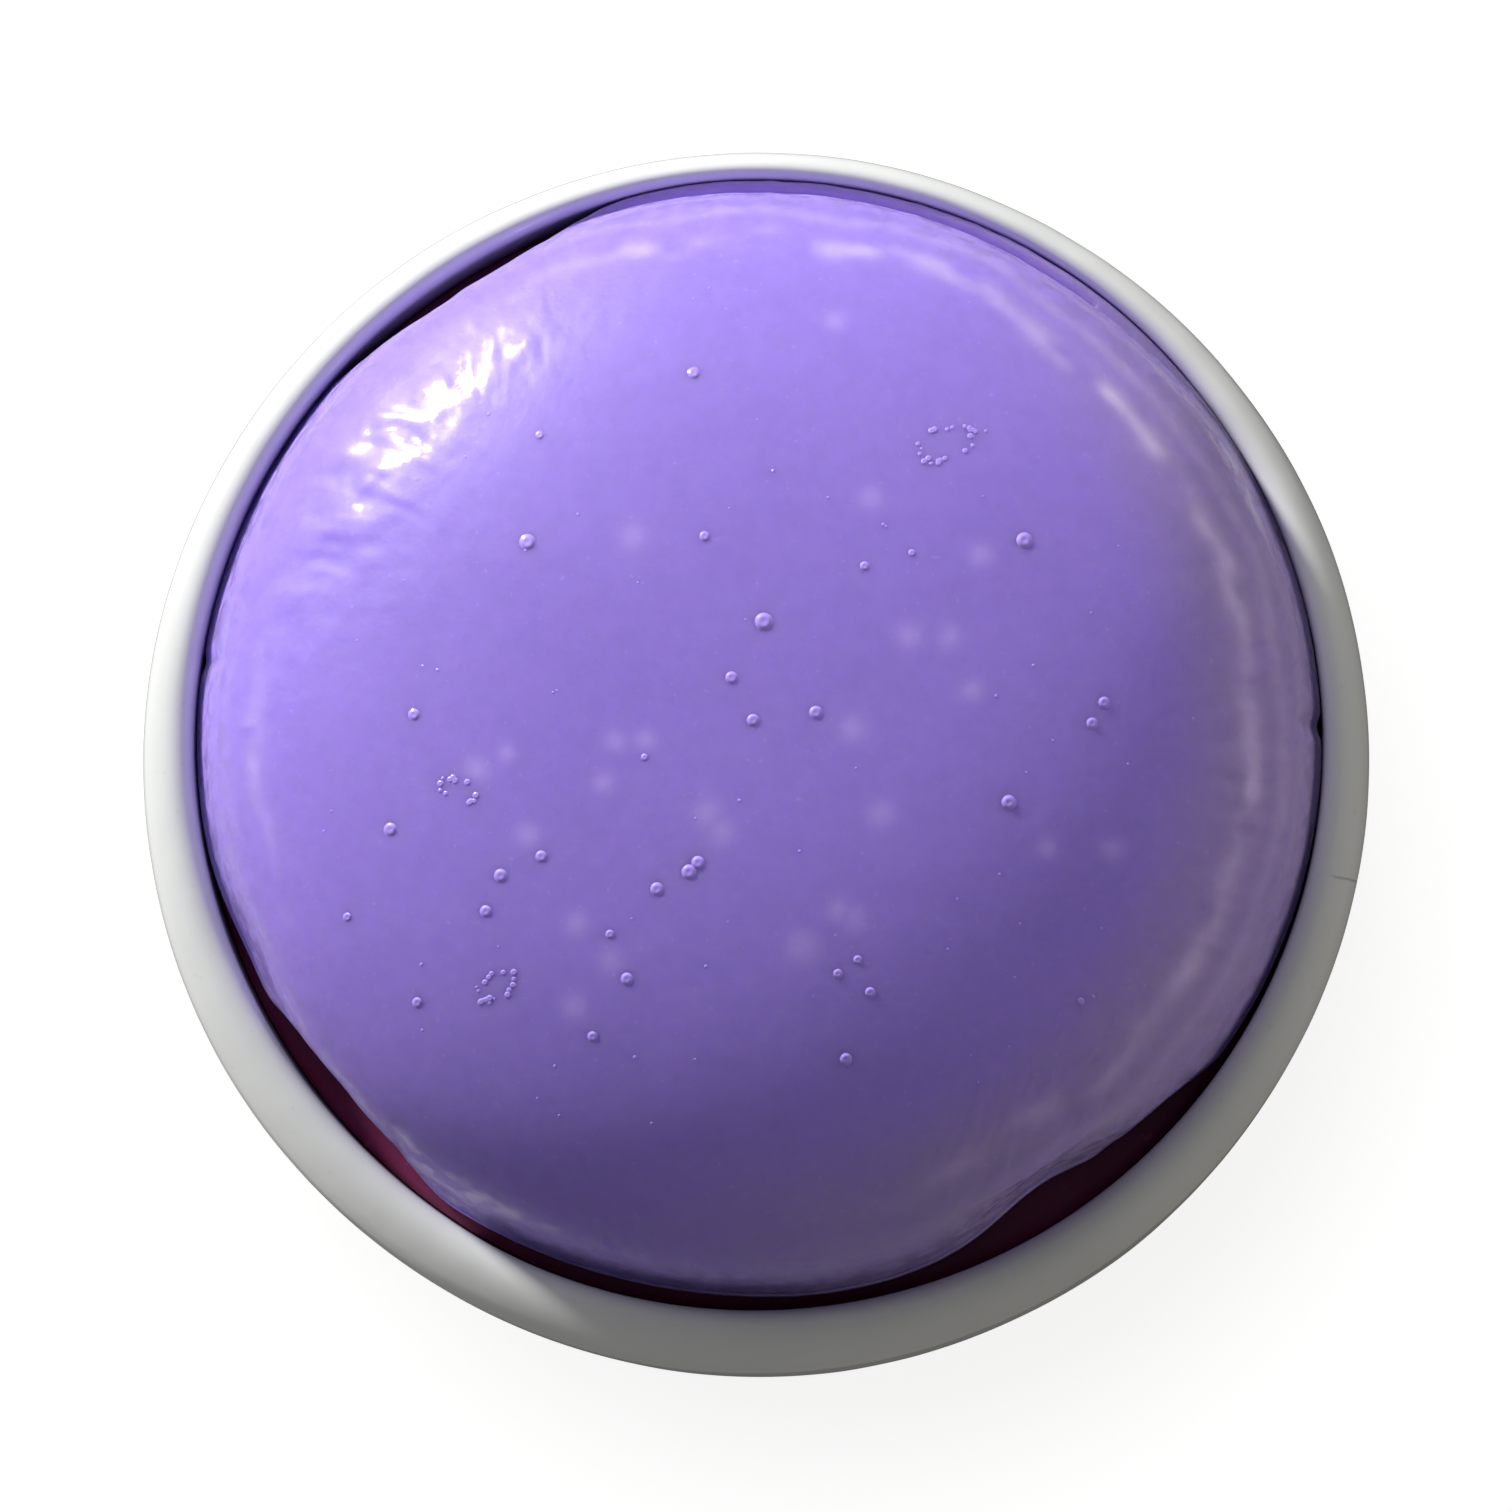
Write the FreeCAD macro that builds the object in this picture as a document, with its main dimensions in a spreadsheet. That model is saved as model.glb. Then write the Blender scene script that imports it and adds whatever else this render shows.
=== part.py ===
import FreeCAD, Part
import Sketcher
import math
import os

# A domed shaving soap puck in its glazed dish. The dish stands on the plane z = 0, centred on the Z axis.
# Its bowl lies off that axis, so that the lip is thicker towards -Y. A plum soap base is cast into the bowl,
# and the violet puck lies loose on the base, a little off the bowl's centre.

SIZES = (
    ("dish_height", 38.0, "foot to the crest of the lip"),
    ("mouth_radius", 38.6, "inside of the bowl's straight upper wall"),
    ("mouth_shift", 1.1, "the bowl lies this far off the dish's axis, so the lip is uneven"),
    ("lip_radius", 41.7, "outside of the lip"),
    ("lip_round", 0.95, "rounding of the lip's two edges"),
    ("belly_radius", 41.9, "widest part of the outside"),
    ("belly_height", 24.0, "height of the widest part"),
    ("foot_radius", 28.0, "outside of the foot ring"),
    ("foot_width", 3.5, "width of the ring that touches the table"),
    ("foot_height", 1.6, "upright part of the foot ring"),
    ("foot_edge", 0.5, "rounding of the foot ring's two edges"),
    ("recess_height", 2.0, "depth of the hollow inside the foot ring"),
    ("floor_height", 6.5, "top of the floor inside"),
    ("knee_height", 22.0, "where the straight wall starts to curve into the floor"),
    ("base_top", 33.6, "level surface of the cast soap base"),
    ("puck_shift_x", 0.05, "the puck lies this far off the bowl's centre"),
    ("puck_shift_y", 0.2, "the puck lies this far off the bowl's centre"),
    ("puck_height", 20.7, "flat underside to the top of the dome"),
    ("rim_radius", 38.1, "thin rim left round the pour side"),
    ("rim_height", 2.7, "thickness of that rim"),
    ("rim_bevel", 0.5, "worn corner of that rim"),
    ("dome_radius", 37.2, "where the dome meets the rim"),
    ("cap_curve", 85.0, "radius of the shallow top of the dome"),
    ("shoulder_curve", 17.0, "radius of the shoulder between the top and the rim"),
    ("trim_distance", 36.6, "puck axis to each knife cut"),
)
TRIM_AZIMUTHS = {"upper_left": 123.0, "lower_left": 221.0, "lower_right": 308.0}
FLOOR_RADIUS = "mouth_radius - knee_height + floor_height"

doc = FreeCAD.newDocument("ShavingSoapPuck")


def make_sheet():
    sheet = doc.addObject("Spreadsheet::Sheet", "Sizes")
    rows = list(SIZES)
    rows += [(f"trim_{side}", angle, "direction of this knife cut") for side, angle in TRIM_AZIMUTHS.items()]
    for row, (alias, value, note) in enumerate(rows, start=1):
        sheet.set(f"A{row}", alias)
        sheet.set(f"B{row}", str(value))
        sheet.setAlias(f"B{row}", alias)
        sheet.set(f"C{row}", note)
    doc.recompute()
    return sheet


def value_of(expression):
    """The number that an expression on the sheet's cells gives now."""
    return float(sheet.evalExpression(expression))


def new_body(label):
    body = doc.addObject("PartDesign::Body", label)
    body.Label = label
    return body


def new_sketch(body, name, plane_role):
    """An empty sketch on one of the body's own origin planes."""
    plane = next(f for f in body.Origin.OriginFeatures if f.Role == plane_role)
    sketch = body.newObject("Sketcher::SketchObject", name)
    sketch.AttachmentSupport = (plane, "")
    sketch.MapMode = "FlatFace"
    return sketch


class Profile:
    """A closed outline in a sketch, whose corners are held by expressions on the sheet."""

    def __init__(self, sketch, start):
        self.sketch = sketch
        self.ends = []
        self.at = start

    def point(self, corner):
        return FreeCAD.Vector(value_of(corner[0]), value_of(corner[1]), 0)

    def line(self, *corner):
        """A straight edge to a corner, given as two expressions."""
        geometry = Part.LineSegment(self.point(self.at), self.point(corner))
        index = self.sketch.addGeometry(geometry, False)
        self.ends.append((index, 1, 2, corner))
        self.at = corner
        return self

    def arc(self, *corner, centre_height, clockwise):
        """A round edge to a corner, about a centre at the given height."""
        a, b = self.point(self.at), self.point(corner)
        height = value_of(centre_height)
        across = (b.x**2 - a.x**2) + (b.y - height) ** 2 - (a.y - height) ** 2
        centre = FreeCAD.Vector(across / (2 * (b.x - a.x)), height, 0)
        index = self.add_arc(a, b, centre, clockwise, corner)
        self.hold(index, 3, None, centre_height)
        return self

    def add_arc(self, a, b, centre, clockwise, corner):
        first, last = (b, a) if clockwise else (a, b)
        angles = [math.atan2(p.y - centre.y, p.x - centre.x) for p in (first, last)]
        circle = Part.Circle(centre, FreeCAD.Vector(0, 0, 1), (a - centre).Length)
        index = self.sketch.addGeometry(Part.ArcOfCircle(circle, *angles), False)
        begin, end = (2, 1) if clockwise else (1, 2)
        self.ends.append((index, begin, end, corner))
        self.at = corner
        return index

    def hold(self, index, which, across, up):
        """Ties a point's distance from the sketch's two axes to expressions, or to an axis itself."""
        for expression, kind, axis in ((across, "DistanceX", -2), (up, "DistanceY", -1)):
            if expression is None:
                continue
            if expression == "0":
                self.sketch.addConstraint(Sketcher.Constraint("PointOnObject", index, which, axis))
                continue
            number = self.sketch.addConstraint(
                Sketcher.Constraint(kind, -1, 1, index, which, value_of(expression))
            )
            self.sketch.setExpression(f"Constraints[{number}]", on_sheet(expression))

    def close(self):
        """Joins the edges end to end. An edge with no corner of its own runs smoothly into the next one."""
        for (index, _, end, corner), following in zip(self.ends, self.ends[1:] + self.ends[:1]):
            kind = "Tangent" if corner is None else "Coincident"
            next_index, next_begin = following[:2]
            self.sketch.addConstraint(Sketcher.Constraint(kind, index, end, next_index, next_begin))
            if corner is not None:
                self.hold(index, end, *corner)
        doc.recompute()


def on_sheet(expression):
    """The same expression with every cell's alias written in full, for use outside the sheet."""
    words = expression.replace("(", "( ").replace(")", " )").split(" ")
    return " ".join(f"Sizes.{word}" if word[:1].isalpha() else word for word in words)


def revolve(body, sketch, name):
    """A full turn of the sketch about the body's own upright axis."""
    turned = body.newObject("PartDesign::Revolution", name)
    turned.Profile = sketch
    turned.ReferenceAxis = (sketch, ["V_Axis"])
    turned.Angle = 360.0
    sketch.Visibility = False
    doc.recompute()
    return turned


def make_dish():
    """Glazed dish: foot ring, rounded belly and rounded lip, with the bowl a little off its axis."""
    body = new_body("dish")
    sketch = new_sketch(body, "DishSection", "XZ_Plane")
    lip_height = "dish_height - lip_round"
    foot_inside = "foot_radius - foot_width"
    outline = Profile(sketch, ("foot_radius", "0"))
    outline.line("foot_radius", "foot_height")
    outline.arc("belly_radius", "belly_height", centre_height="belly_height", clockwise=False)
    outline.arc("lip_radius", lip_height, centre_height="belly_height", clockwise=False)
    outline.arc("lip_radius - lip_round", "dish_height", centre_height=lip_height, clockwise=False)
    outline.line("0", "dish_height")
    outline.line("0", "recess_height")
    outline.line(foot_inside, "recess_height")
    outline.line(foot_inside, "0")
    outline.line("foot_radius", "0")
    outline.close()
    turned = revolve(body, sketch, "DishTurned")
    ground = [
        f"Edge{number}"
        for number, edge in enumerate(turned.Shape.Edges, start=1)
        if edge.BoundBox.ZMax < 1e-6 and edge.isClosed()
    ]
    round_edges(body, "FootEdges", turned, ground, "foot_edge")
    bowl = hollow_bowl(body)
    mouth = [
        f"Edge{number}"
        for number, edge in enumerate(bowl.Shape.Edges, start=1)
        if edge.BoundBox.ZMin > value_of("dish_height") - 1e-6
        and abs(edge.Curve.Radius - value_of("mouth_radius")) < 1e-6
    ]
    round_edges(body, "LipInside", bowl, mouth, "lip_round")
    return body


def round_edges(body, name, feature, edges, cell):
    """Rounds some of a feature's edges to the radius in a cell of the sheet."""
    rounded = body.newObject("PartDesign::Fillet", name)
    rounded.Base = (feature, edges)
    rounded.setExpression("Radius", f"Sizes.{cell}")
    doc.recompute()


def hollow_bowl(body):
    """Takes out the bowl: flat floor, round knee and straight wall, open at the top."""
    sketch = new_sketch(body, "BowlSection", "XZ_Plane")
    sketch.setExpression("AttachmentOffset.Base.z", "-Sizes.mouth_shift")
    outline = Profile(sketch, ("0", "floor_height"))
    outline.line(FLOOR_RADIUS, "floor_height")
    outline.arc("mouth_radius", "knee_height", centre_height="knee_height", clockwise=False)
    outline.line("mouth_radius", "dish_height + 1")
    outline.line("0", "dish_height + 1")
    outline.line("0", "floor_height")
    outline.close()
    hollow = body.newObject("PartDesign::Groove", "Bowl")
    hollow.Profile = sketch
    hollow.ReferenceAxis = (sketch, ["V_Axis"])
    hollow.Angle = 360.0
    sketch.Visibility = False
    doc.recompute()
    return hollow


def make_soap_base():
    """Soap cast into the dish: it fills the bowl up to a level surface."""
    body = new_body("soap_base")
    sketch = new_sketch(body, "BaseSection", "XZ_Plane")
    outline = Profile(sketch, ("0", "floor_height"))
    outline.line(FLOOR_RADIUS, "floor_height")
    outline.arc("mouth_radius", "knee_height", centre_height="knee_height", clockwise=False)
    outline.line("mouth_radius", "base_top")
    outline.line("0", "base_top")
    outline.line("0", "floor_height")
    outline.close()
    revolve(body, sketch, "BaseTurned")
    body.setExpression("Placement.Base.y", "Sizes.mouth_shift")
    doc.recompute()
    return body


def dome_centres():
    """Centres of the shallow cap and of the shoulder that touches it and ends on the rim."""
    cap, shoulder = value_of("cap_curve"), value_of("shoulder_curve")
    cap_centre = FreeCAD.Vector(0, value_of("puck_height") - cap, 0)
    foot = FreeCAD.Vector(value_of("dome_radius"), value_of("rim_height"), 0)
    reach = foot - cap_centre
    apart = cap - shoulder
    cosine = (apart**2 + reach.Length**2 - shoulder**2) / (2 * apart * reach.Length)
    angle = math.atan2(reach.y, reach.x) + math.acos(cosine)
    return cap_centre, cap_centre + FreeCAD.Vector(math.cos(angle), math.sin(angle), 0) * apart


def make_soap_puck():
    """Domed puck with a thin rim round its flat side, trimmed straight in three places."""
    body = new_body("soap_puck")
    sketch = new_sketch(body, "PuckSection", "XZ_Plane")
    outline = Profile(sketch, ("0", "0"))
    outline.line("rim_radius", "0")
    outline.line("rim_radius", "rim_height - rim_bevel")
    outline.line("rim_radius - rim_bevel", "rim_height")
    outline.line("dome_radius", "rim_height")
    cap_centre, shoulder_centre = dome_centres()
    touch = cap_centre + (shoulder_centre - cap_centre).normalize() * value_of("cap_curve")
    foot, top = outline.point(outline.at), FreeCAD.Vector(0, value_of("puck_height"), 0)
    shoulder = outline.add_arc(foot, touch, shoulder_centre, False, None)
    cap = outline.add_arc(touch, top, cap_centre, False, ("0", "puck_height"))
    outline.hold(cap, 3, "0", None)
    outline.line("0", "0")
    outline.close()
    for arc, cell in ((shoulder, "shoulder_curve"), (cap, "cap_curve")):
        number = sketch.addConstraint(Sketcher.Constraint("Radius", arc, value_of(cell)))
        sketch.setExpression(f"Constraints[{number}]", f"Sizes.{cell}")
    doc.recompute()
    revolve(body, sketch, "PuckTurned")
    for side in TRIM_AZIMUTHS:
        trim_edge(body, side)
    body.setExpression("Placement.Base.x", "Sizes.puck_shift_x")
    body.setExpression("Placement.Base.y", "Sizes.mouth_shift + Sizes.puck_shift_y")
    body.setExpression("Placement.Base.z", "Sizes.base_top")
    doc.recompute()
    return body


def trim_edge(body, side):
    """One straight knife cut down the puck's edge, facing the side's direction."""
    before = body.Shape.Volume
    sketch = new_sketch(body, f"Trim_{side}", "XY_Plane")
    turn = FreeCAD.Rotation(FreeCAD.Vector(0, 0, 1), value_of(f"trim_{side}"))
    sketch.AttachmentOffset = FreeCAD.Placement(FreeCAD.Vector(), turn)
    sketch.setExpression("AttachmentOffset.Rotation.Angle", f"Sizes.trim_{side} * 1 deg")
    outline = Profile(sketch, ("trim_distance", "0 - rim_radius"))
    outline.line("2 * rim_radius", "0 - rim_radius")
    outline.line("2 * rim_radius", "rim_radius")
    outline.line("trim_distance", "rim_radius")
    outline.line("trim_distance", "0 - rim_radius")
    outline.close()
    cut = body.newObject("PartDesign::Pocket", f"Cut_{side}")
    cut.Profile = sketch
    cut.Midplane = True
    cut.setExpression("Length", "2 * Sizes.puck_height")
    sketch.Visibility = False
    doc.recompute()
    if not body.Shape.Volume < before:
        raise RuntimeError(f"the cut {side} took nothing away")


def write_parts(bodies):
    """Checks the whole document, then writes each sub-part's solid."""
    doc.recompute()
    failed = [o.Name for o in doc.Objects if "Invalid" in o.State or "Error" in o.State]
    if failed:
        raise RuntimeError(f"these objects failed: {failed}")
    for body in bodies:
        if body.Shape.isNull() or not body.Shape.isValid() or len(body.Shape.Solids) != 1:
            raise RuntimeError(f"{body.Label} isn't one valid solid")
    os.makedirs("parts", exist_ok=True)
    for body in bodies:
        body.Shape.exportStep(f"parts/{body.Label}.step")
        box = body.Shape.BoundBox
        print(f"{body.Label}: {body.Shape.Volume:.0f} mm3, z {box.ZMin:.2f} to {box.ZMax:.2f}, across {box.XLength:.2f}")


sheet = make_sheet()
write_parts([make_dish(), make_soap_base(), make_soap_puck()])
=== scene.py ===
import math

import bpy
import numpy as np
from mathutils import Matrix, Vector


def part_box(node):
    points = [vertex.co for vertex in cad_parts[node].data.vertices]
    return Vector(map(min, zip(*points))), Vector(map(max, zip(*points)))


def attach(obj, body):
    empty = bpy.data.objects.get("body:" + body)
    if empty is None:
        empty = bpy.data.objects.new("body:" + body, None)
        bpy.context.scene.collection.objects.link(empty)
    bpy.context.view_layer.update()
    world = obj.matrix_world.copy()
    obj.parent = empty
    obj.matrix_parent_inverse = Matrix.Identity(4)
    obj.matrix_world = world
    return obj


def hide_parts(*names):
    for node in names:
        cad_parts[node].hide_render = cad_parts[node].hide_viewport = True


# Shaving soap in its dish: a violet puck, domed on top, lies loose on plum soap cast into a white bowl.
# Meshes are in metres, +Z up the dish's axis and -Y towards the viewer. Outlines are worked out in mm.

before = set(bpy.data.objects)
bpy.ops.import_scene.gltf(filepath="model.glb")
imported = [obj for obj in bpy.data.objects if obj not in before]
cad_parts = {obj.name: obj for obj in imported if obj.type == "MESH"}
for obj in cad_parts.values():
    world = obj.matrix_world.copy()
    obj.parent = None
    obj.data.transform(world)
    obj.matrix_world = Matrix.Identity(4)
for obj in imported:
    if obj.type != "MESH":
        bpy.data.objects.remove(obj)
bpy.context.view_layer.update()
MM = 0.001

# ----------------------------------------------------------------------------------------------------
# Dish. Slip-cast stoneware under a cool white glaze, with a round lip that is thicker in front. The ring
# that it stands on was wiped bare before the firing. It holds the soap base and surrounds the puck.

dish_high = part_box("dish")[1]
dish_height = dish_high.z / MM
belly_radius = dish_high.x / MM
belly_height = 24.0
lip_radius = 41.7
lip_rise = 1.3
lip_height = dish_height - lip_rise
mouth_radius = 38.6
mouth_shift = 1.1
floor_height = 6.5
knee_height = 22.0
knee_radius = knee_height - floor_height
recess_height = 2.0
foot_inside = 24.5
foot_outside = 28.0
foot_top = 1.6
foot_edge = 0.5
hairline_azimuth = -12.0


def arc(centre, radius, start, end, steps=40):
    """Points of a round stretch of an outline, from one angle to another in degrees."""
    turns = np.radians(np.linspace(start, end, steps))
    return [(centre[0] + radius * math.cos(t), centre[1] + radius * math.sin(t)) for t in turns]


def side_arc(first, last, height):
    """A round stretch between two points of an outline, about a centre at the given height."""
    across = last[0] ** 2 - first[0] ** 2 + (last[1] - height) ** 2 - (first[1] - height) ** 2
    centre = across / (2 * (last[0] - first[0]))
    start, end = (math.degrees(math.atan2(p[1] - height, p[0] - centre)) for p in (first, last))
    return arc((centre, height), math.hypot(first[0] - centre, first[1] - height), start, end)


def even_steps(outline, count):
    """The same outline from end to end, at evenly spaced points."""
    outline = np.array(outline)
    run = np.concatenate([[0.0], np.cumsum(np.hypot(*np.diff(outline[:, :2], axis=0).T))])
    places = np.linspace(0.0, run[-1], count)
    return [np.interp(places, run, column) for column in outline.T]


def unevenness(x, y, seed):
    """Random heights from -1 to 1 on a unit lattice, joined smoothly."""
    table = np.random.default_rng(seed).uniform(-1, 1, (64, 64))
    column, row = np.floor(x).astype(int), np.floor(y).astype(int)
    u, v = x - column, y - row
    u, v = u * u * (3 - 2 * u), v * v * (3 - 2 * v)
    near = table[column % 64, row % 64] * (1 - u) + table[(column + 1) % 64, row % 64] * u
    far = table[column % 64, (row + 1) % 64] * (1 - u) + table[(column + 1) % 64, (row + 1) % 64] * u
    return near * (1 - v) + far * v


def bell(value, centre, spread, power=2):
    """A smooth hump from 0 to 1 about a centre. A higher even power makes its top flatter."""
    return np.exp(-(((value - centre) / spread) ** power))


def turn_from(azimuth, angle):
    """How far an angle is from an azimuth, in degrees from -180 to 180."""
    return (np.degrees(angle) - azimuth + 180) % 360 - 180


def full_turn(count):
    """Evenly spaced angles all the way round."""
    return np.linspace(0, 2 * np.pi, count, endpoint=False)


def narrowing(angle):
    """How far the wall leans in on the mouth's left side, in mm: the mouth isn't quite round."""
    return 0.42 * bell(turn_from(170, angle), 0, 66, 8)


def up_the_wall(height):
    """How much of that lean there is at a height, from 0 at the bowl's floor to 1 at the lip."""
    return np.sqrt(np.clip((height - floor_height) / (lip_height - floor_height), 0, 1))


def make_piece(name, x, y, z, faces, material):
    """A smooth-shaded mesh object from coordinates in millimetres."""
    mesh = bpy.data.meshes.new(name)
    mesh.from_pydata(np.stack([x, y, z], axis=1) * MM, [], faces)
    mesh.shade_smooth()
    mesh.materials.append(material)
    piece = bpy.data.objects.new(name, mesh)
    bpy.context.scene.collection.objects.link(piece)
    return piece


def band_faces(first_ring, second_ring):
    """Quads between two closed rings of vertices. Seen with the second ring above, they face outwards."""
    ahead, above_ahead = np.roll(first_ring, -1), np.roll(second_ring, -1)
    return np.stack([first_ring, ahead, above_ahead, second_ring], axis=1).tolist()


def cap_faces(ring, tip):
    """Triangles from a closed ring to one vertex."""
    return [(a, b, tip) for a, b in zip(ring.tolist(), np.roll(ring, -1).tolist())]


def turned_piece(name, radius, height, material, shift=0.0):
    """A turned piece: rings from the middle of its underside round to its top, each shifted along Y."""
    rings, around = radius.shape
    angle = full_turn(around)
    x, y = radius * np.cos(angle), radius * np.sin(angle) + shift
    ends = [(0.0, y[0].mean(), height[0].mean()), (0.0, y[-1].mean(), height[-1].mean())]
    numbers = np.arange(rings * around).reshape(rings, around)
    faces = [face for low, high in zip(numbers, numbers[1:]) for face in band_faces(low, high)]
    faces += cap_faces(numbers[0][::-1], rings * around)
    faces += cap_faces(numbers[-1], rings * around + 1)
    x, y, z = (np.append(c.ravel(), tips) for c, tips in zip((x, y, height), zip(*ends)))
    return make_piece(name, x, y, z, faces, material)


class Shade:
    """A socket of a material's nodes. Sums and products of it add Math nodes, so masks read as formulas."""

    def __init__(self, tree, socket=None):
        self.tree = tree
        self.socket = socket

    def node(self, kind, settings, sockets, output=0):
        """Adds a node: its settings first, then the values or links of its sockets."""
        made = self.tree.nodes.new(kind)
        for name, value in settings.items():
            setattr(made, name, value)
        for name, value in sockets.items():
            if isinstance(value, Shade):
                self.tree.links.new(value.socket, made.inputs[name])
            else:
                made.inputs[name].default_value = value
        return Shade(self.tree, made.outputs[output] if made.outputs else None)

    def maths(self, operation, *values):
        return self.node("ShaderNodeMath", {"operation": operation}, dict(enumerate(values)))

    def __add__(self, other):
        return self.maths("ADD", self, other)

    def __sub__(self, other):
        return self.maths("SUBTRACT", self, other)

    def __rsub__(self, other):
        return self.maths("SUBTRACT", other, self)

    def __mul__(self, other):
        return self.maths("MULTIPLY", self, other)

    def __truediv__(self, other):
        return self.maths("DIVIDE", self, other)

    def __abs__(self):
        return self.maths("ABSOLUTE", self)

    __radd__ = __add__
    __rmul__ = __mul__

    def rise(self, start, end):
        """A mask that goes smoothly from 0 at start to 1 at end."""
        limits = {"Value": self, "From Min": start, "From Max": end}
        return self.node("ShaderNodeMapRange", {"interpolation_type": "SMOOTHSTEP"}, limits)

    def between(self, zero, one):
        """The colour zero where this mask is 0, and the colour one where it is 1."""
        return self.node("ShaderNodeMix", {"data_type": "RGBA"}, {0: self, 6: zero, 7: one}, 2)

    def noise(self, size, detail=2.0):
        """Cloudy noise from 0 to 1 over these coordinates, with lumps of the given size in millimetres."""
        sockets = {"Vector": self, "Scale": 1 / (size * MM), "Detail": detail}
        return self.node("ShaderNodeTexNoise", {}, sockets)

    def stretched(self, x, y, z):
        """These coordinates multiplied along each axis."""
        return self.node("ShaderNodeVectorMath", {"operation": "MULTIPLY"}, {0: self, 1: (x, y, z)})

    def along(self, axis):
        """One of these coordinates, in millimetres."""
        return self.node("ShaderNodeSeparateXYZ", {}, {0: self}, axis) / MM

    def bumps(self, height):
        """The surface's normal, tilted by this relief, which runs from 0 to the given height in mm."""
        return self.node("ShaderNodeBump", {}, {"Height": self, "Distance": height * MM})


def start_material(name):
    """A new material, its nodes' start, and its coordinates fixed to the piece."""
    material = bpy.data.materials.new(name)
    material.use_nodes = True
    material.node_tree.nodes.clear()
    start = Shade(material.node_tree)
    return material, start, start.node("ShaderNodeTexCoord", {}, {}, "Object")


def finish_material(start, sockets):
    shader = start.node("ShaderNodeBsdfPrincipled", {}, sockets)
    start.node("ShaderNodeOutputMaterial", {}, {"Surface": shader})


def white_glaze():
    """Cool white glaze, clouded, with dark specks and a hairline crack on the lip, bare clay on the foot
    ring.
    """
    material, start, place = start_material("white_glaze")
    x, y, z = place.along(0), place.along(1), place.along(2)
    clouds = place.noise(9.0, 3.0)
    milk = clouds.between((0.70, 0.72, 0.71, 1), (0.76, 0.78, 0.78, 1))
    specks = place.noise(0.7, 1.0).rise(0.70, 0.78) * 0.25
    milk = specks.between(milk, (0.62, 0.60, 0.55, 1))
    azimuth = math.radians(hairline_azimuth)
    off_line = x * math.sin(azimuth) - y * math.cos(azimuth) + (place.noise(2.0) - 0.5) * 0.5
    hairline = (1 - abs(off_line).rise(0.04, 0.14)) * x.rise(mouth_radius, mouth_radius + 1) * 0.5
    milk = hairline.between(milk, (0.30, 0.28, 0.25, 1))
    bare = 1 - (z + (place.noise(3.0) - 0.5) * 0.5).rise(0.55, 0.85)
    relief = place.noise(5.0, 1.0) + place.noise(0.5, 2.0) * 0.06 + bare * place.noise(0.25, 2.0) * 0.5
    finish_material(start, {
        "Base Color": bare.between(milk, (0.66, 0.58, 0.47, 1)),
        "Roughness": 0.16 + clouds * 0.12 + bare * 0.55,
        "Coat Weight": 0.5 - bare * 0.5,
        "Coat Roughness": 0.08,
        "IOR": 1.5,
        "Normal": relief.bumps(0.05),
    })
    return material


# The outline's third value is the share of the bowl's offset: 0 outside, rising over the lip to 1 inside.
belly = (belly_radius, belly_height)
outline = [(0.05, recess_height), (foot_inside - foot_edge, recess_height)]
outline += arc((foot_inside + foot_edge, foot_edge), foot_edge, 180, 270, 6)
outline += arc((foot_outside - foot_edge, foot_edge), foot_edge, 270, 360, 6)
outline += side_arc((foot_outside, foot_top), belly, belly_height)
outline += side_arc(belly, (lip_radius, lip_height), belly_height)
outline = [(*point, 0.0) for point in outline]
for share, rise in arc((0.5, 0.0), 0.5, 180, 0, 60):
    share = share**0.6
    across = lip_radius + (mouth_radius - lip_radius) * share
    outline.append((across, lip_height + rise * 2 * lip_rise, share))
bowl = arc((mouth_radius - knee_radius, knee_height), knee_radius, 0, -90) + [(0.05, floor_height)]
outline += [(*point, 1.0) for point in bowl]
radius, height, share = (np.repeat(c[:, None], 384, axis=1) for c in even_steps(outline, 230))
angle = full_turn(384)
x, y = radius * np.cos(angle) + 0.7 * height, radius * np.sin(angle) - 0.7 * height
glaze = 0.05 * unevenness(x / 11, y / 11, 1) + 0.015 * unevenness(x / 2.5, y / 2.5, 2)
glaze *= np.where(share < 1, 1.0, 0.2) * np.clip(radius / 10, 0, 1)
radius = radius + glaze * (1 - share) - narrowing(angle) * share * up_the_wall(height)
dish = turned_piece("glazed_dish", radius, height - np.abs(glaze), white_glaze(), mouth_shift * share)
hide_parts("dish")
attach(dish, "dish")

# ----------------------------------------------------------------------------------------------------
# Soap base. Plum glycerin soap, poured hot into the dish and left to set. It shrinks a hair from the
# wall, and the puck's rim has pressed a shallow ring into its level top.

base_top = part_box("soap_base")[1].z / MM
base_gap = 0.08
shrink_depth = 0.25
shrink_round = 0.4
settled = 0.03
press_depth = 0.10
press_radius = 36.4


def plum_soap():
    """Deep plum soap, clouded, with a few specks of froth and a satin skin."""
    material, start, place = start_material("plum_soap")
    clouds = place.noise(7.0, 4.0)
    body = clouds.between((0.18, 0.017, 0.078, 1), (0.27, 0.035, 0.125, 1))
    froth = place.noise(0.9, 2.0).rise(0.66, 0.76) * 0.3
    relief = place.noise(2.2, 3.0) + place.noise(0.4, 2.0) * 0.25
    finish_material(start, {
        "Base Color": froth.between(body, (0.52, 0.20, 0.34, 1)),
        "Roughness": 0.30 + place.noise(3.0) * 0.25,
        "Subsurface Weight": 0.6,
        "Subsurface Radius": (1.0, 0.25, 0.45),
        "Subsurface Scale": 2.0 * MM,
        "IOR": 1.46,
        "Normal": relief.bumps(0.06),
    })
    return material


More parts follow.
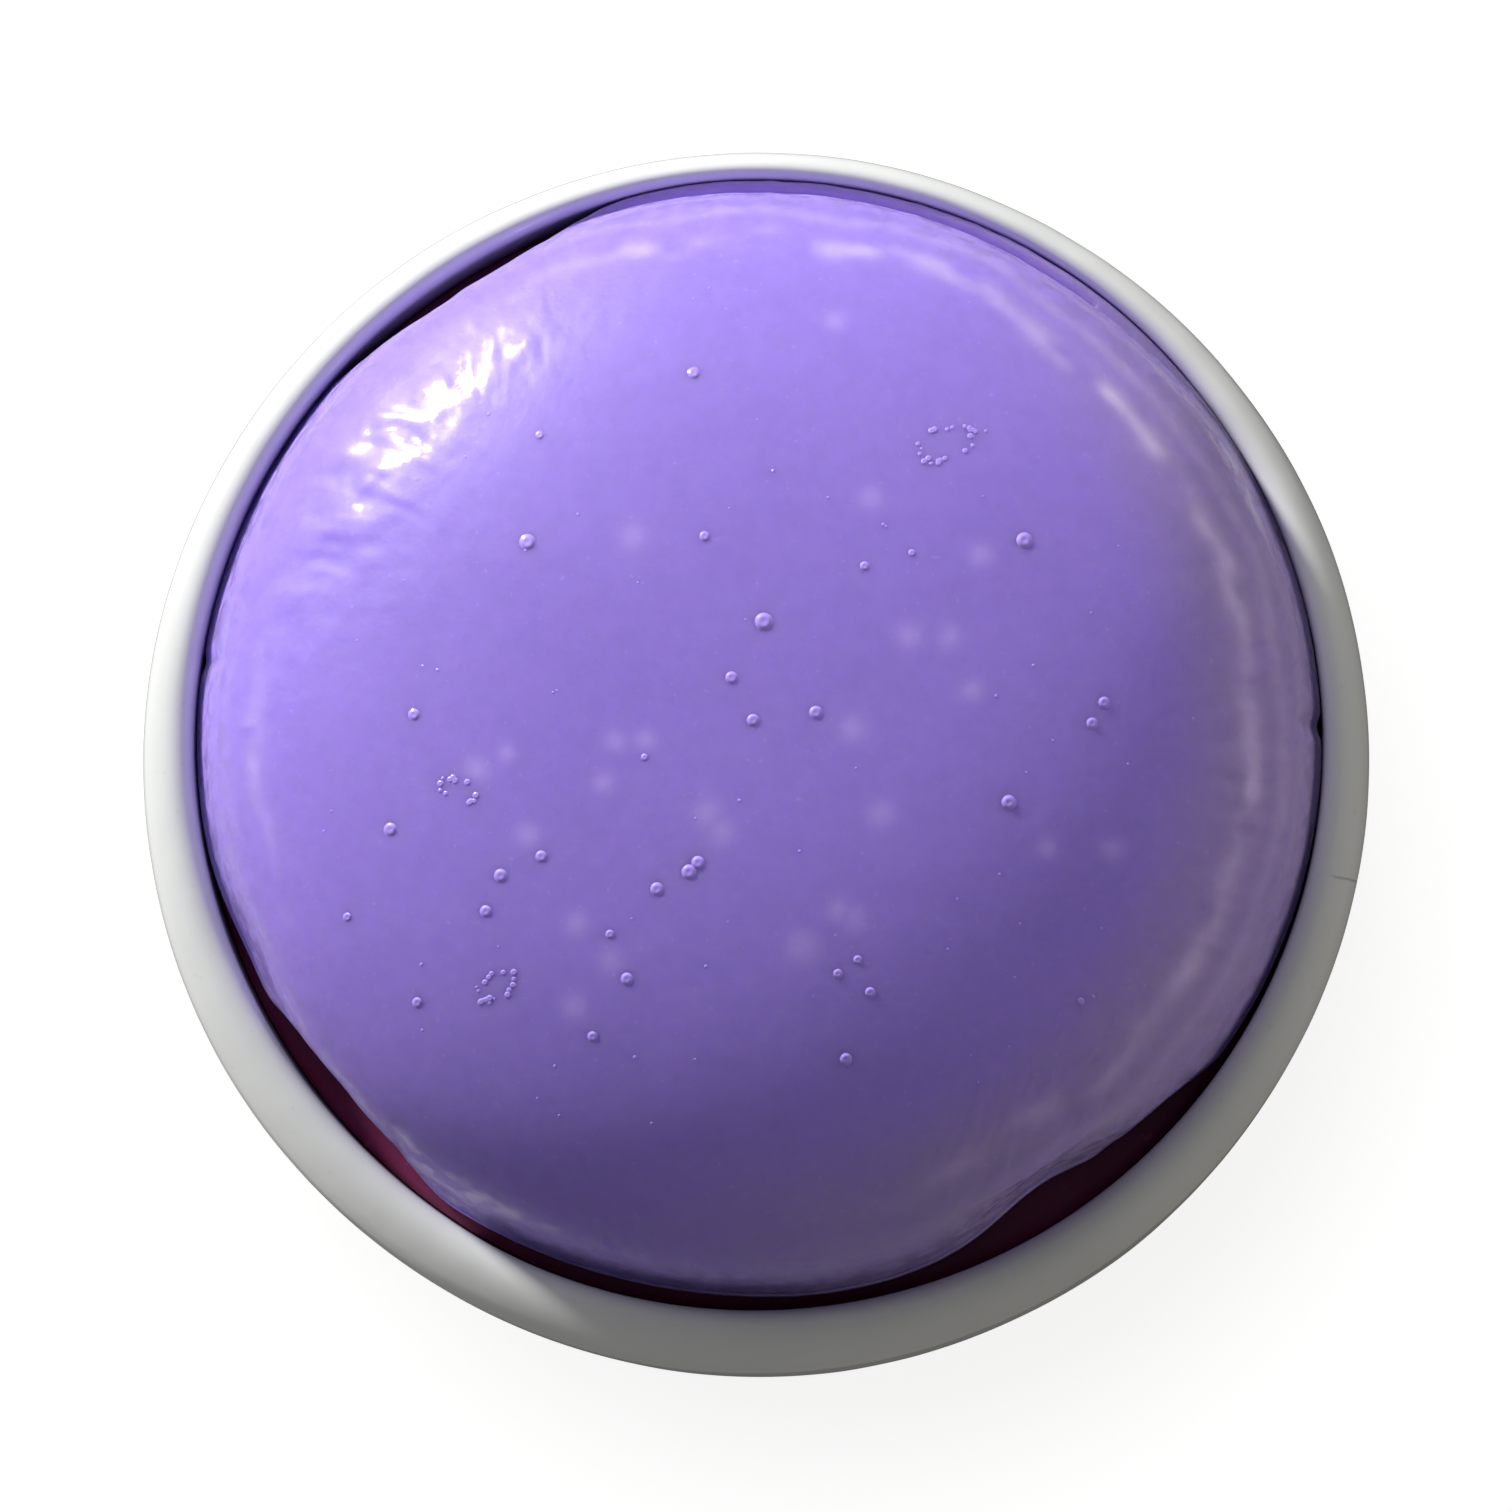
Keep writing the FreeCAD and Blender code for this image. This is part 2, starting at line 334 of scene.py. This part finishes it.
outline = [(0.05, floor_height + base_gap)]
outline += arc((mouth_radius - knee_radius, knee_height), knee_radius - base_gap, -90, 0)
shrunk_centre = (mouth_radius - base_gap - shrink_round, base_top - shrink_depth - shrink_round)
outline += arc(shrunk_centre, shrink_round, 0, 80, 6)
outline += [(mouth_radius - 2.0, base_top - settled), (0.05, base_top - settled)]
radius, height = (np.repeat(c[:, None], 320, axis=1) for c in even_steps(outline, 200))
angle = full_turn(320)
x, y = radius * np.cos(angle), radius * np.sin(angle)
on_top = np.clip((height - base_top + 0.5) / 0.4, 0, 1) * np.clip(radius / 3, 0, 1)
waves = 0.03 * unevenness(x / 6, y / 6, 3) + 0.02 * unevenness(x / 1.8, y / 1.8, 4) - 0.05
pressed = -press_depth * bell(radius, press_radius, 0.9, 4)
height = height + on_top * (waves + pressed)
radius = radius * (1 - narrowing(angle) * up_the_wall(height) / mouth_radius)
base = turned_piece("cast_soap_base", radius, height, plum_soap(), mouth_shift)
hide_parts("soap_base")
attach(base, "dish")

# ----------------------------------------------------------------------------------------------------
# Puck. Milky violet glycerin soap, cast dome up in a round mould and pulled out while still soft, which
# crumpled its skin in places. Three knife cuts trimmed its rim. It lies loose on the base.

puck_low, puck_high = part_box("soap_puck")
puck_axis = (puck_low + puck_high) / 2 / MM
puck_bottom = puck_low.z / MM
rim_radius = (puck_high.x - puck_low.x) / 2 / MM
rim_height = 2.7
rim_bevel = 0.3
bottom_round = 0.3
dome_radius = 37.2
dome_height = (puck_high.z - puck_low.z) / MM - rim_height
dome_fullness = 2.35
cut_distance = 36.6
cut_azimuths = (123.0, 221.0, 308.0)
cut_softness = 0.3
cut_leans = (0.12, 0.0, 0.0)
flange_rise = 1.1
wall_clearance = 0.04
grid_half = 142

# Nicks and worn stretches of the rim, as (azimuth, depth in mm, width in degrees).
nicks = (
    (1.0, 0.3, 1.0), (113.0, 0.3, 1.6), (172.0, 0.2, 1.0), (204.0, 0.6, 8.0), (229.0, 0.35, 1.2),
    (256.0, 0.3, 22.0), (291.0, 0.3, 9.0), (303.0, 2.1, 9.0),
)


def dome(radius):
    """Height of the smooth dome over the rim."""
    return dome_height * (1 - np.clip(radius / dome_radius, 0, 1) ** dome_fullness) ** (1 / dome_fullness)


def dome_slope(radius):
    """How steeply the smooth dome falls away from the axis."""
    step = 0.05
    return (dome(radius - step) - dome(radius + step)) / (2 * step)


def creases(x, y, direction, length, width, seed):
    """Short creases that run in one direction, given in degrees."""
    way = math.radians(direction)
    along = x * math.cos(way) + y * math.sin(way)
    across = y * math.cos(way) - x * math.sin(way)
    bent = across + 0.6 * unevenness(x / 3.0, y / 3.0, seed + 50)
    fine = 0.4 * unevenness(along / length * 2, bent / width * 2, seed + 1)
    return unevenness(along / length, bent / width, seed) + fine


def mould_seam(radius, angle):
    """The mould seam's radius at an angle, how plain it is there, and how broken up, from -1 to 1."""
    path = 32.9 + 0.7 * unevenness(np.degrees(angle) / 9, 0 * angle, 23)
    plain = bell(turn_from(27, angle), 0, 92, 6) + 0.4 * bell(turn_from(188, angle), 0, 20, 4)
    return path, plain, unevenness(33.0 * angle / 2.2, radius / 1.3, 24)


def skin(x, y):
    """How far the skin stands proud of the smooth dome, in mm, at a place seen from above the puck."""
    radius, angle = np.hypot(x, y), np.arctan2(y, x)
    relief = 0.05 * unevenness(x / 10, y / 10, 5) + 0.012 * unevenness(x / 3.5, y / 3.5, 6)
    round_way = 33.0 * angle
    upper_left = bell(radius, 30.5, 5.0) * bell(turn_from(142, angle), 0, 32, 4)
    relief += 0.045 * upper_left * creases(radius, round_way, 12, 3.6, 0.9, 7)
    relief += 0.05 * upper_left * creases(x, y, 50, 3.2, 1.4, 11)
    relief += 0.03 * upper_left * creases(x, y, 100, 2.0, 0.7, 13)
    far_left = bell(radius, 31.0, 3.4) * bell(turn_from(153, angle), 0, 14, 4)
    relief += (0.10 * far_left + 0.05 * upper_left) * unevenness(x / 2.1, y / 2.1, 14)
    right = bell(radius, 33.6, 2.6) * bell(turn_from(-8, angle), 0, 24, 4)
    relief += 0.10 * right * creases(radius, round_way, 4, 3.0, 0.9, 15)
    lower_right = bell(radius, 32.5, 3.2) * bell(turn_from(-52, angle), 0, 17, 4)
    relief += 0.12 * lower_right * creases(x, y, 62, 2.6, 0.9, 19)
    path, plain, breaks = mould_seam(radius, angle)
    standing = plain * (0.7 + 0.7 * breaks)
    relief += 0.09 * standing * bell(radius, path, 0.5)
    relief += 0.05 * standing * bell(radius, path + 2.3, 0.4)
    return relief


def squeezed(angle):
    """Where the rim was squeezed out to a scalloped flange with a groove inside it, from 0 to 1."""
    return bell(turn_from(78, angle), 0, 36, 6)


def trimmed(radius, angle, height):
    """The radius after swelling, wear, nicks and the knife cuts. The rim swells out to near the wall
    behind and at both sides, where the puck was pressed into the mouth."""
    wear = 0.015 * (1 + unevenness(np.degrees(angle) / 4.5 % 64, 0 * angle, 27))
    off_centre = puck_axis.x * np.cos(angle) + (puck_axis.y - mouth_shift) * np.sin(angle)
    room = mouth_radius - rim_radius - narrowing(angle) - off_centre
    swell = (room - wall_clearance) * bell(turn_from(78, angle), 0, 108, 8)
    scallops = squeezed(angle) * 0.07 * np.abs(unevenness(np.degrees(angle) / 3.1 % 64, 0 * angle, 28))
    wear = wear + scallops - swell
    for azimuth, depth, width in nicks:
        wear = wear + depth * bell(turn_from(azimuth, angle), 0, width)
    radius = radius - wear * np.clip((radius - dome_radius + 2.0) / 2.5, 0, 1)
    for azimuth, lean in zip(cut_azimuths, cut_leans):
        turn = np.clip(np.radians(turn_from(azimuth, angle)), -1.2, 1.2)
        wander = 0.12 * unevenness(turn * 22 + 32, 0 * turn, int(azimuth))
        limit = cut_distance + wander - lean * np.clip(height - rim_height, 0, 9)
        past = limit / np.cos(turn) - radius
        radius = radius - (np.sqrt(past**2 + cut_softness**2) - past) / 2
    return radius


def disc_grid(half):
    """A square grid bent into a disc of even cells: each vertex's ring and angle, and the faces."""
    steps = np.arange(-half, half + 1)
    across, up = np.meshgrid(steps, steps)
    sideways = np.abs(across) >= np.abs(up)
    major, minor = np.where(sideways, across, up), np.where(sideways, up, across)
    share = np.pi / 4 * minor / np.where(major == 0, 1, major)
    angle = np.where(sideways, share, np.pi / 2 - share) + np.where(major < 0, np.pi, 0)
    numbers = np.arange(across.size).reshape(across.shape)
    corners = [numbers[:-1, :-1], numbers[:-1, 1:], numbers[1:, 1:], numbers[1:, :-1]]
    faces = np.stack([c.ravel() for c in corners], axis=1).tolist()
    return np.abs(major).ravel(), (angle % (2 * np.pi)).ravel(), faces


def smooth_puck():
    """The puck before its edge is spread and trimmed: each vertex's radius, height and angle, and the
    faces. The dome is a bent grid, and rings follow down over the rim and across the underside."""
    turns = np.linspace(0, np.pi / 2, 400)
    power = 2 / dome_fullness
    arch = [dome_radius * np.sin(turns) ** power, rim_height + dome_height * np.cos(turns) ** power]
    arch_radius, arch_height = even_steps(np.stack(arch, axis=1), grid_half + 1)
    rim = [(dome_radius + 0.1, rim_height - 0.3), (dome_radius + 0.25, rim_height - 0.05)]
    rim += arc((rim_radius - rim_bevel, rim_height - rim_bevel), rim_bevel, 90, 0, 5)
    rim += arc((rim_radius - bottom_round, bottom_round), bottom_round, 0, -90, 4)
    rim += [(rim_radius - 1.2, 0.0), (rim_radius - 2.0, 0.15), (26.0, 0.2), (14.0, 0.25), (4.0, 0.25)]
    ring, angle, faces = disc_grid(grid_half)
    radius, height = arch_radius[ring], arch_height[ring]
    edge = np.flatnonzero(ring == grid_half)
    edge = edge[np.argsort(angle[edge])]
    last = edge
    for ring_radius, ring_height in rim:
        new = np.arange(len(edge)) + len(radius)
        radius = np.append(radius, np.full(len(edge), ring_radius))
        height = np.append(height, np.full(len(edge), ring_height))
        angle = np.append(angle, angle[edge])
        faces += [face[::-1] for face in band_faces(last, new)]
        last = new
    faces += cap_faces(last[::-1], len(radius))
    return np.append(radius, 0.0), np.append(height, rim[-1][1]), np.append(angle, 0.0), faces


def puck_mesh(name, material):
    """The puck with its dome's edge spread over the rim, its skin's relief, its flange and its trimming."""
    radius, height, angle, faces = smooth_puck()
    flat_x, flat_y = radius * np.cos(angle), radius * np.sin(angle)
    on_dome = np.arange(len(radius)) < (2 * grid_half + 1) ** 2
    slope = np.where(on_dome, np.clip(dome_slope(radius), 0, 20), 0)
    proud = np.where(on_dome, skin(flat_x, flat_y), 0) / np.hypot(1, slope)
    underside = ~on_dome & (height < 0.5) & (radius < rim_radius - 1.5)
    flange = squeezed(angle)
    edge_radius = dome_radius + 0.97 * (1 - flange) * (rim_radius - 0.15 - dome_radius)
    into_bevel = np.clip(edge_radius - rim_radius + rim_bevel, 0, rim_bevel)
    edge_height = rim_height - rim_bevel + np.sqrt(rim_bevel**2 - into_bevel**2)
    above = np.clip(height - rim_height, 0, 30)
    inside = ~on_dome & (height > rim_height - 0.45) & (radius < edge_radius)
    spread = on_dome * (edge_radius - dome_radius) * np.exp(-above / 1.8)
    sunk = on_dome * (rim_height - edge_height) * np.exp(-above / 0.5)
    groove = on_dome * 0.25 * flange * np.exp(-above / 1.4)
    raised = flange_rise * flange * np.where(on_dome, bell(above, 0, 2.2), height > 1.0)
    height = np.where(inside, edge_height, height - sunk) + raised
    spread = np.where(inside, edge_radius - radius, spread - groove)
    height = height + proud + underside * 0.08 * unevenness(flat_x / 7, flat_y / 7, 29)
    radius = trimmed(radius + spread + proud * slope, angle, height) * np.where(radius > 0, 1, 0)
    x = puck_axis.x + radius * np.cos(angle)
    y = puck_axis.y + radius * np.sin(angle)
    return make_piece(name, x, y, puck_bottom + height, faces, material)


# Buried bubbles: blurred pale spots, as (x, y, radius) in mm from the bowl's centre.
buried_bubbles = (
    (-7.5, 11.8, 0.9), (8.1, 14.3, 0.8), (5.7, 26.6, 0.7), (15.3, 10.6, 0.8), (10.6, 5.1, 0.9),
    (13.2, 5.1, 0.8), (14.7, 1.5, 0.7), (-8.6, -1.8, 0.7), (-6.7, -1.7, 0.7), (-9.4, -4.5, 0.7),
    (-1.7, -7.8, 0.9), (-14.4, -7.8, 0.8), (-17.8, -3.5, 0.8), (-15.8, -2.5, 0.6), (6.9, -1.0, 0.9),
    (8.7, -6.6, 0.9), (23.9, -8.7, 0.8), (19.6, -8.7, 0.7), (-11.2, -13.7, 0.8), (-9.0, -16.1, 0.8),
    (-11.4, -19.0, 0.8), (3.6, -15.2, 1.1), (5.9, -12.9, 0.8), (7.0, -13.4, 0.8), (-2.6, -6.6, 1.0),
)


def violet_soap(name, paleness, scattering):
    """Milky violet soap with clouds and buried bubbles, a right shoulder greyed partly by dried skin and
    partly by painted reflection, and a pale mould line that is partly painted highlight.
    """
    material, start, place = start_material(name)
    x, y = place.along(0) - puck_axis.x, place.along(1) - puck_axis.y
    squares = x * x + y * y
    radius = squares.maths("SQRT", squares)
    clouds = place.noise(14.0, 3.0)
    grain = place.noise(1.1, 3.0)
    deep = [v * paleness for v in (0.300, 0.207, 0.690)]
    pale = [v * paleness for v in (0.360, 0.258, 0.780)]
    body = (clouds * 0.7 + grain * 0.3).between((*deep, 1), (*pale, 1))
    streaks = place.stretched(1.0, 1.0, 0.3).noise(4.0, 4.0)
    # Painted reflection: the outer zone of the right and lower-right shoulder is greyed, standing in for
    # pale surroundings seen at a grazing angle, and partly also a dried skin.
    haze_side = (x * 0.93 - y * 0.37).rise(2.0, 26.0)
    dried_skin_and_reflection = radius.rise(26.0, 33.0) * haze_side * (0.35 + streaks * 0.5)
    body = dried_skin_and_reflection.between(body, (0.37, 0.30, 0.50, 1))
    # Painted highlight: a pale band along the mould seam stands in for light caught on the shoulder, over
    # the seam's real low ridge.
    seam_and_highlight = start.node("ShaderNodeAttribute", {"attribute_name": "seam_and_highlight"}, {}, "Fac")
    body = (seam_and_highlight * (0.15 + streaks * 0.85)).between(body, (0.66, 0.56, 0.86, 1))
    buried = start.node("ShaderNodeAttribute", {"attribute_name": "buried"}, {}, "Fac")
    body = (buried * 0.42).between(body, (0.58, 0.46, 0.92, 1))
    froth = place.noise(0.45, 1.0).rise(0.70, 0.80) * 0.14
    body = froth.between(body, (0.70, 0.62, 0.94, 1))
    relief = place.noise(1.3, 3.0) + place.noise(0.35, 2.0) * 0.3
    finish_material(start, {
        "Base Color": body,
        "Roughness": 0.40 + streaks * 0.16,
        "Subsurface Weight": scattering,
        "Subsurface Radius": (1.0, 0.8, 1.3),
        "Subsurface Scale": 3.0 * MM,
        "IOR": 1.46,
        "Coat Weight": place.noise(1.6, 3.0).rise(0.40, 0.62) * 0.9,
        "Coat Roughness": 0.17,
        "Normal": relief.bumps(0.03),
    })
    return material


puck = puck_mesh("violet_soap_puck", violet_soap("violet_soap", 1.0, 1.0))
spots = np.array([v.co for v in puck.data.vertices]) / MM
buried = np.zeros(len(spots))
for x, y, size in buried_bubbles:
    away = np.hypot(spots[:, 0] - x, spots[:, 1] - mouth_shift - y)
    buried = np.maximum(buried, bell(away, 0, size))
puck.data.attributes.new("buried", "FLOAT", "POINT").data.foreach_set("value", buried)
from_axis = spots[:, :2] - puck_axis.xy
radius, angle = np.hypot(*from_axis.T), np.arctan2(from_axis[:, 1], from_axis[:, 0])
path, plain, breaks = mould_seam(radius, angle)
# Strength of the painted shoulder highlight along the mould seam, stored on the puck for its colour.
seam_and_highlight = plain * ((0.6 + 0.8 * breaks) * bell(radius, path, 0.8) + 0.4 * bell(radius, path + 2.3, 0.5))
puck.data.attributes.new("seam_and_highlight", "FLOAT", "POINT").data.foreach_set("value", np.clip(seam_and_highlight, 0, 1))
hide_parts("soap_puck")
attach(puck, "puck")

# ----------------------------------------------------------------------------------------------------
# Open bubbles. Air rose to the mould's wall and left small pits with a raised ring in the puck's skin.
# They are of the puck's own soap, so they go with it.

bubble_scale = 0.8

# Single bubbles, as (x, y, radius) in mm from the bowl's centre.
open_bubbles = (
    (-14.5, 11.5, 0.55), (-2.8, 11.7, 0.35), (1.1, 6.0, 0.60), (-1.0, 2.3, 0.42), (7.7, 9.7, 0.32),
    (10.8, 10.6, 0.25), (18.2, 11.6, 0.55), (22.6, -0.5, 0.40), (23.4, 0.9, 0.40), (4.5, 0.0, 0.45),
    (0.4, -0.5, 0.42), (-6.7, -2.9, 0.25), (-22.0, 0.2, 0.40), (-16.2, -10.5, 0.45), (-13.5, -9.3, 0.40),
    (-5.9, -11.5, 0.45), (-3.8, -10.4, 0.50), (-3.2, -9.8, 0.45), (-17.2, -12.8, 0.40), (-23.6, -7.3, 0.45),
    (17.1, -5.8, 0.50), (6.4, -22.5, 0.40), (-10.2, -21.0, 0.35), (-9.0, -14.4, 0.30), (-7.9, -17.3, 0.42),
    (7.2, -16.1, 0.30), (8.0, -18.2, 0.35), (5.9, -17.0, 0.32), (-3.6, 22.9, 0.42), (-13.8, 18.8, 0.30),
    (-21.9, -18.6, 0.35), (-26.6, -12.9, 0.30), (21.8, -18.6, 0.25),
)
# Loops of small bubbles, as (x, y, half length, half width, direction in degrees, how many).
bubble_groups = (
    (13.1, 18.1, 2.0, 1.2, 20, 26),
    (-19.0, -4.9, 1.7, 0.7, -25, 14),
    (-16.6, -17.7, 1.5, 0.8, 25, 18),
)


def bubble_rings(bubbles):
    """All the rings as one mesh. Each follows the skin and is highest at its own radius."""
    around = 20
    angle = full_turn(around)
    profile = ((1.35, -0.04), (1.15, 0.03), (1.0, 0.13), (0.8, 0.25), (0.55, 0.29), (0.3, 0.24))
    tip = 0.21
    points, faces = [], []
    for x, y, size in bubbles:
        start = sum(len(p) for p in points)
        y = y + mouth_shift
        size = size * bubble_scale
        reaches = [size * reach for reach, _ in profile]
        rings = [(x + reach * np.cos(angle), y + reach * np.sin(angle)) for reach in reaches]
        places = np.concatenate([np.stack(r, axis=1) for r in rings] + [[(x, y)]])
        flat_x, flat_y = places[:, 0] - puck_axis.x, places[:, 1] - puck_axis.y
        radius = np.hypot(flat_x, flat_y)
        lift = np.append(np.repeat([h * size for _, h in profile], around), tip * size)
        over = (skin(flat_x, flat_y) + lift + 0.004) * np.hypot(1, dome_slope(radius))
        height = puck_bottom + rim_height + dome(radius) + over
        points.append(np.column_stack([places, height]))
        numbers = start + np.arange(len(profile) * around).reshape(len(profile), around)
        faces += [face for low, high in zip(numbers, numbers[1:]) for face in band_faces(low, high)]
        faces += cap_faces(numbers[-1], start + len(profile) * around)
    return (*np.concatenate(points).T, faces)


draw = np.random.default_rng(31)
small_bubbles = []
for x, y, long_half, short_half, direction, count in bubble_groups:
    for turn in draw.uniform(0, 2 * np.pi, count):
        reach = draw.uniform(0.75, 1.1)
        u, v = long_half * reach * math.cos(turn), short_half * reach * math.sin(turn)
        way = math.radians(direction)
        size = draw.uniform(0.10, 0.24)
        place = (x + u * math.cos(way) - v * math.sin(way), y + u * math.sin(way) + v * math.cos(way))
        small_bubbles.append((*place, size))
for turn, reach in zip(draw.uniform(0, 2 * np.pi, 60), np.sqrt(draw.uniform(0, 1, 60)) * 30):
    small_bubbles.append((reach * math.cos(turn), reach * math.sin(turn), draw.uniform(0.07, 0.13)))
x, y, z, faces = bubble_rings(list(open_bubbles) + small_bubbles)
bubbles = make_piece("puck_bubbles", x, y, z, faces, violet_soap("violet_soap_blister", 1.2, 0.0))
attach(bubbles, "puck")

# ----------------------------------------------------------------------------------------------------
# Studio. A low hard key lamp at the back left, a soft one above it, and weak soft ones at the right and
# the left. The pale sweep glows a little and has a lamp of its own. The camera looks almost straight down.

eye_height = 36.0 * MM
eye_distance = 0.45
eye_elevation = 84.0
eye_azimuth = 15.0
key_azimuth = 131.0
key_elevation = 17.0


def studio_floor():
    """Matt off-white paper that glows a little."""
    material, start, place = start_material("studio_floor")
    paper = place.noise(60.0, 2.0).between((0.59, 0.59, 0.59, 1), (0.61, 0.61, 0.61, 1))
    finish_material(start, {
        "Base Color": paper,
        "Roughness": 0.9,
        "Specular IOR Level": 0.0,
        "Emission Color": (1, 1, 1, 1),
        "Emission Strength": 0.83,
    })
    return material


# The sweep runs level under the dish, curves up all round and closes far above.
sweep_line = [(1.0, 0.0), (700.0, 0.0)] + arc((700.0, 500.0), 500.0, -90, 0) + [(1200.0, 1500.0)]
radius, height = (np.repeat(c[:, None], 96, axis=1) for c in even_steps(sweep_line, 120))
sweep = turned_piece("studio_sweep", radius[::-1], height[::-1], studio_floor())
sweep.data.flip_normals()
sweep.visible_diffuse = False
sweep.visible_glossy = False
sweep.visible_transmission = False
sweep.visible_shadow = False


def towards(azimuth, elevation):
    """The direction of something seen from the middle of the scene, from angles in degrees."""
    across = math.cos(math.radians(elevation))
    way = math.radians(azimuth)
    return Vector((across * math.cos(way), across * math.sin(way), math.sin(math.radians(elevation))))


def lamp(name, kind, energy, direction, distance, colour, lit, **settings):
    """A lamp that lights only the pieces given, aimed at the middle of the scene."""
    data = bpy.data.lights.new(name, kind)
    data.energy = energy
    data.color = colour
    for setting, value in settings.items():
        setattr(data, setting, value)
    made = bpy.data.objects.new(name, data)
    turn = direction.to_track_quat("Z", "Y").to_matrix().to_4x4()
    made.matrix_world = Matrix.Translation(direction * distance) @ turn
    bpy.context.scene.collection.objects.link(made)
    made.light_linking.receiver_collection = bpy.data.collections.new(f"lit_by_{name}")
    for piece in lit:
        made.light_linking.receiver_collection.objects.link(piece)
    return made


dish_pieces = (dish, base)
puck_pieces = (puck, bubbles)
pieces = dish_pieces + puck_pieces
key_way = towards(key_azimuth, key_elevation)
lamp("key", "SUN", 4.9, key_way, 1.0, (1.0, 0.98, 0.95), pieces, angle=math.radians(6))
soft_lamps = (
    lamp("back_glow", "AREA", 2.5, towards(112, 42), 0.8, (0.96, 0.98, 1.0), pieces, size=0.6),
    lamp("right_fill", "AREA", 1.45, towards(-12, 13), 0.8, (1.0, 0.93, 0.84), dish_pieces, size=0.4),
    lamp("puck_fill", "AREA", 2.1, towards(2, 26), 0.8, (1.0, 0.93, 0.9), puck_pieces, size=0.4),
    lamp("left_fill", "AREA", 0.75, towards(226, -5), 0.6, (1.0, 0.99, 0.94), pieces, size=0.3),
)
for soft_lamp in soft_lamps:
    soft_lamp.visible_glossy = False
lamp("floor_light", "SUN", 0.7, towards(122, 76), 1.0, (1, 1, 1), (sweep,), angle=math.radians(24))

world = bpy.data.worlds.new("surround")
world.use_nodes = True
background = world.node_tree.nodes["Background"]
background.inputs["Color"].default_value = (1.0, 0.97, 0.94, 1)
background.inputs["Strength"].default_value = 0.085
bpy.context.scene.world = world
bpy.context.scene.view_settings.view_transform = "Standard"

aim = Vector((0.09 * MM, 0.11 * MM, eye_height))
eye = towards(eye_azimuth - 90, eye_elevation)
across = Vector((0, 1, 0)).cross(eye).normalized()
camera_data = bpy.data.cameras.new("camera")
camera_data.lens = 157.4
camera_data.sensor_width = 36.0
camera_data.clip_start = 0.01
camera = bpy.data.objects.new("camera", camera_data)
turn = Matrix((across, eye.cross(across), eye)).transposed().to_4x4()
camera.matrix_world = Matrix.Translation(aim + eye * eye_distance) @ turn
bpy.context.scene.collection.objects.link(camera)
bpy.context.scene.camera = camera
